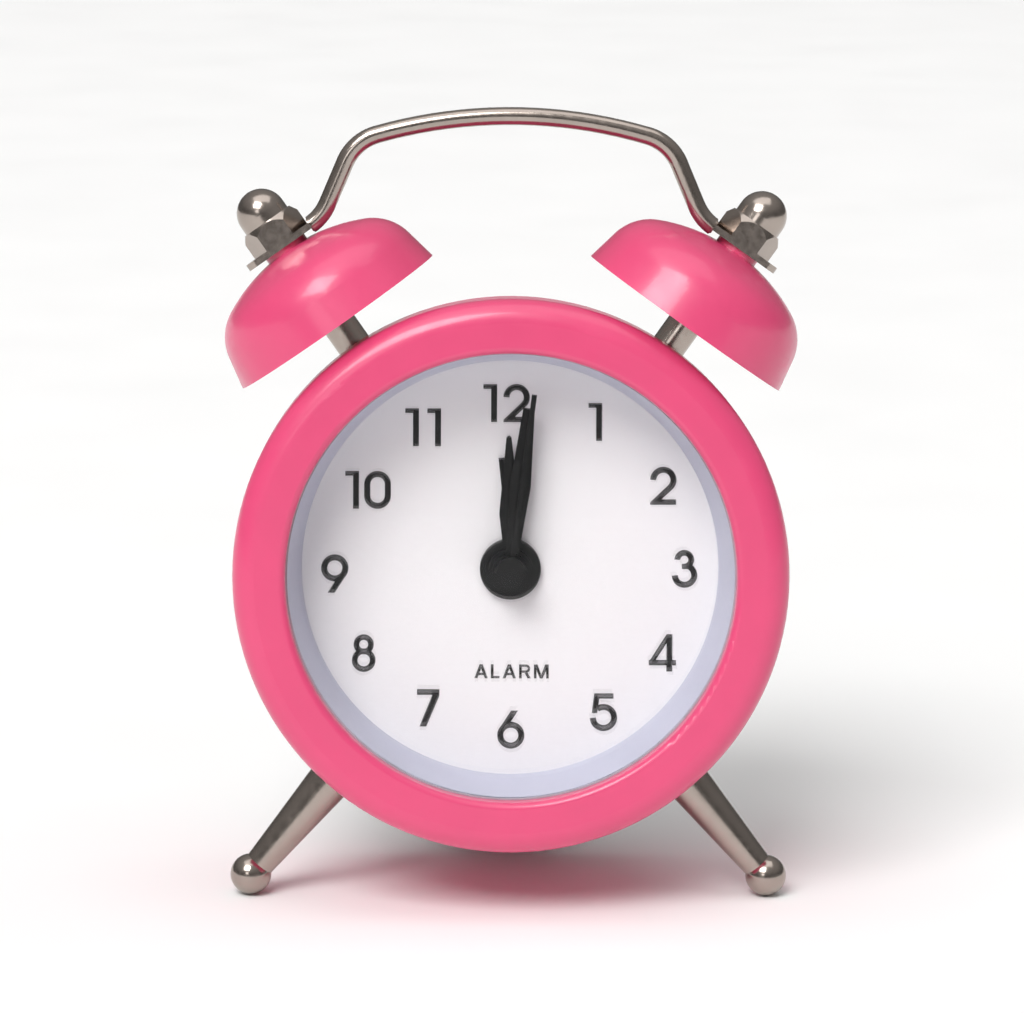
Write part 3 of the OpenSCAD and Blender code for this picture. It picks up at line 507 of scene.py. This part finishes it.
def plate(name, polygons, low, high, matrix):
    """One flat solid: the union of overlapping polygons, raised from low to high."""
    verts, faces = [], []
    for poly in polygons:
        poly = [Vector(p) for p in poly]
        if area2(poly) < 0:
            poly.reverse()
        faces.append(list(range(len(verts), len(verts) + len(poly))))
        verts += poly
    out, _, tris, _, _, owners = delaunay_2d_cdt(verts, [], faces, 0, MERGE_DISTANCE)
    tris = [t for t, o in zip(tris, owners) if o]
    mesh = bmesh.new()
    tops = [mesh.verts.new((v.x, v.y, high)) for v in out]
    bases = [mesh.verts.new((v.x, v.y, low)) for v in out]
    edges = {}
    for tri in tris:
        mesh.faces.new([tops[i] for i in tri])
        mesh.faces.new([bases[i] for i in reversed(tri)])
        for i in range(len(tri)):
            edges[(tri[i - 1], tri[i])] = True
    for a, b in edges:
        if (b, a) not in edges:
            mesh.faces.new([tops[b], tops[a], bases[a], bases[b]])
    loose = [v for v in mesh.verts if not v.link_faces]
    bmesh.ops.delete(mesh, geom=loose, context="VERTS")
    data = bpy.data.meshes.new(name)
    mesh.to_mesh(data)
    mesh.free()
    data.transform(matrix)
    obj = bpy.data.objects.new(name, data)
    scene.collection.objects.link(obj)
    return obj


# glyphs are one unit high; each is its width and its overlapping polygons
STROKE = 0.16
THIN_STROKE = STROKE - 0.012
LETTER_STROKE = 0.17


def flipped(polygons, width):
    """A glyph turned upside down within its own width."""
    return [[(width - p[0], 1 - p[1]) for p in poly] for poly in polygons]


def glyph_six():
    stem = [(0.034, 0.49), (0.219, 0.49), (0.548, 1.0), (0.363, 1.0)]
    return ribbon(arc((0.3575, 0.338), 0.281, 0, 360, 48), STROKE, True) + [stem]


def glyph_two():
    bowl = arc((0.345, 0.66), 0.269, 180, -45)
    foot = [
        (0, 0),
        (0.687, 0),
        (0.687, 0.142),
        (0.30, 0.142),
        (0.589, 0.416),
        (0.481, 0.524),
        (0, 0.06),
    ]
    return ribbon(bowl, STROKE) + [foot]


def glyph_five():
    stem = [(0.046, 0.47), (0.19, 0.47), (0.250, 0.9), (0.256, 1.0), (0.11, 1.0)]
    bowl = arc((0.359, 0.351), 0.284, 125, -178)
    return ribbon(bowl, STROKE) + [stem, box2(0.12, 0.62, 0.86, 1)]


GLYPHS = {
    "0": (
        0.70,
        ribbon(
            arc((0.35, 0.65), 0.273, 0, 180)
            + arc((0.35, 0.35), 0.273, 180, 360)
            + [(0.623, 0.65)],
            STROKE,
            True,
        ),
    ),
    "1": (0.362, [box2(0, 0.362, 0.878, 1), box2(0.205, 0.362, 0, 1)]),
    "2": (0.687, glyph_two()),
    "3": (
        0.665,
        ribbon(arc((0.32, 0.746), 0.184, 180, -78), STROKE - 0.006)
        + ribbon(arc((0.330, 0.333), 0.258, 82, -178), STROKE)
        + [box2(0.255, 0.40, 0.496, 0.634)],
    ),
    "4": (
        0.725,
        [
            box2(0, 0.725, 0.165, 0.306),
            box2(0.47, 0.625, 0, 1),
            [
                (0, 0.165),
                (0.2, 0.165),
                (0.184, 0.306),
                (0.47, 0.757),
                (0.60, 1),
                (0.47, 1),
                (0, 0.25),
            ],
        ],
    ),
    "5": (0.725, glyph_five()),
    "6": (0.715, glyph_six()),
    "7": (
        0.596,
        [
            box2(0, 0.596, 0.85, 1),
            [(0.069, 0), (0.248, 0), (0.596, 0.83), (0.596, 0.87), (0.42, 0.87)],
        ],
    ),
    "8": (
        0.622,
        ribbon(arc((0.311, 0.735), 0.194, 0, 360, 40), THIN_STROKE, True)
        + ribbon(arc((0.311, 0.311), 0.240, 0, 360, 44), THIN_STROKE, True),
    ),
    "9": (0.715, flipped(glyph_six(), 0.715)),
    "A": (
        0.95,
        [
            [(0, 0), (0.21, 0), (0.58, 1), (0.37, 1)],
            [(0.74, 0), (0.95, 0), (0.58, 1), (0.37, 1)],
            [(0.18, 0.22), (0.77, 0.22), (0.71, 0.39), (0.24, 0.39)],
        ],
    ),
    "L": (0.62, [box2(0, 0.19, 0, 1), box2(0, 0.62, 0, 0.17)]),
    "R": (
        0.84,
        [
            box2(0, 0.19, 0, 1),
            box2(0, 0.50, 0.83, 1),
            box2(0, 0.50, 0.40, 0.57),
            [(0.36, 0.45), (0.58, 0.45), (0.84, 0), (0.61, 0)],
        ]
        + ribbon(arc((0.49, 0.70), 0.215, 90, -90), LETTER_STROKE),
    ),
    "M": (
        1.05,
        [
            box2(0, 0.18, 0, 1),
            box2(0.87, 1.05, 0, 1),
            [(0, 1), (0.25, 1), (0.625, 0), (0.43, 0)],
            [(0.80, 1), (1.05, 1), (0.62, 0), (0.425, 0)],
        ],
    ),
}


def lettering(text, height, gap, centre):
    """Polygons of a line of glyphs, in millimetres, centred on a point of the dial."""
    width = sum(GLYPHS[c][0] for c in text) + gap * (len(text) - 1)
    x = -width / 2
    out = []
    for c in text:
        advance, polygons = GLYPHS[c]
        for poly in polygons:
            out.append(
                [
                    (centre[0] + (p[0] + x) * height, centre[1] + (p[1] - 0.5) * height)
                    for p in poly
                ]
            )
        x += advance + gap
    return out


# the printing's base and top, above the dial's face
PRINT_LOW = -0.02
PRINT_HIGH = 0.03
DIGIT_HEIGHT = 4.02
WORD_HEIGHT = 1.5
WORD_GAP = 0.22
WORD_CENTRE = (0.2, -11.1)
# distance of each hour's numeral from the centre, from one to twelve
HOUR_RADII = (18.05, 18.5, 18.6, 18.65, 18.45, 17.35, 17.4, 18.1, 18.7, 17.3, 17.7, 17.65)
HOUR_GAPS = {10: 0.14, 11: 0.22, 12: 0.17}
# the printing sits a little askew on the dial
HOUR_TURNS = (-0.3, 1.3, 0, -1, -3.1, -0.5, 0, -0.5, -2.1, -1.2, -1.8, -1.6)


def printed(name, polygons):
    """A flat black print on the dial's face."""
    obj = plate(name, polygons, PRINT_LOW, PRINT_HIGH, DIAL)
    wear(obj, "black_print")
    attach(obj, "case")


def numerals():
    for hour, radius, turn in zip(range(1, 13), HOUR_RADII, HOUR_TURNS):
        angle = math.radians(30 * hour + turn)
        centre = (radius * math.sin(angle), radius * math.cos(angle))
        polygons = lettering(str(hour), DIGIT_HEIGHT, HOUR_GAPS.get(hour, 0), centre)
        printed(f"numeral_{hour}", polygons)


numerals()
printed("dial_word", lettering("ALARM", WORD_HEIGHT, WORD_GAP, WORD_CENTRE))

# ---- floor and light ----


FLOOR_RADIUS = 6.0
FLOOR_SEGMENTS = 96
# the floor lies this far under the feet, so that no faces coincide
FLOOR_GAP = 0.00002


def stage_floor():
    mesh = bmesh.new()
    bmesh.ops.create_circle(mesh, cap_ends=True, segments=FLOOR_SEGMENTS, radius=FLOOR_RADIUS)
    data = bpy.data.meshes.new("floor")
    mesh.to_mesh(data)
    mesh.free()
    floor = bpy.data.objects.new("floor", data)
    floor.location.z = cad_box[0].z - FLOOR_GAP
    scene.collection.objects.link(floor)
    f = Finish("floor_white")
    varied(f, f.noise(300), srgb(252, 252, 252), 0.004)
    f.rough(f.noise(40), 0.6, 0.75)
    keep("floor_white", f)
    wear(floor, "floor_white")


def area_light(name, place, aim, size, power, colour):
    data = bpy.data.lights.new(name, "AREA")
    data.shape = "RECTANGLE"
    data.size, data.size_y = size
    data.energy = power
    data.color = colour
    light = bpy.data.objects.new(name, data)
    light.location = place
    light.rotation_euler = (Vector(aim) - Vector(place)).to_track_quat("-Z", "Y").to_euler()
    scene.collection.objects.link(light)


# brightness of the surroundings, from straight down (0) to straight up (1)
WORLD_STOPS = ((0.0, 0.3), (0.49, 0.15), (0.60, 0.15), (0.75, 0.3), (1.0, 0.45))


def studio_world():
    """Grey surroundings, a little warm, darkest at the horizon."""
    world = bpy.data.worlds.new("studio")
    world.use_nodes = True
    tree = world.node_tree
    background = tree.nodes["Background"]
    coords = tree.nodes.new("ShaderNodeTexCoord").outputs["Generated"]
    split = tree.nodes.new("ShaderNodeSeparateXYZ")
    ramp = tree.nodes.new("ShaderNodeValToRGB")
    span = tree.nodes.new("ShaderNodeMapRange")
    span.inputs["From Min"].default_value = -1
    tree.links.new(coords, split.inputs["Vector"])
    tree.links.new(split.outputs["Z"], span.inputs["Value"])
    tree.links.new(span.outputs["Result"], ramp.inputs["Fac"])
    tree.links.new(ramp.outputs["Color"], background.inputs["Color"])
    grey = [(place, (v * 1.01, v, v * 0.99, 1)) for place, v in WORLD_STOPS]
    fill_ramp(ramp, grey)
    background.inputs["Strength"].default_value = 1.0
    scene.world = world


# the lights stand this far, in metres, from a point in the middle of the clock
CENTRE = Vector((0, 0, 0.04))
FAR = 12.0


def far_light(name, azimuth, elevation, size, strength, colour=(1, 1, 1)):
    """A soft box so far away that its light is even over the whole floor. Size in degrees."""
    way = direction(math.radians(azimuth), math.radians(elevation))
    wide, tall = (2 * FAR * math.tan(math.radians(d / 2)) for d in size)
    power = strength * math.pi * FAR * FAR
    area_light(name, CENTRE + way * FAR, CENTRE, (wide, tall), power, colour)


stage_floor()
studio_world()
far_light("key", -26, 47, (30, 26), 2.45, (1.0, 0.998, 0.99))
far_light("top", 10, 84, (60, 40), 0.95)
far_light("front", -20, 18, (14, 12), 0.12)
scene.view_settings.view_transform = "Standard"
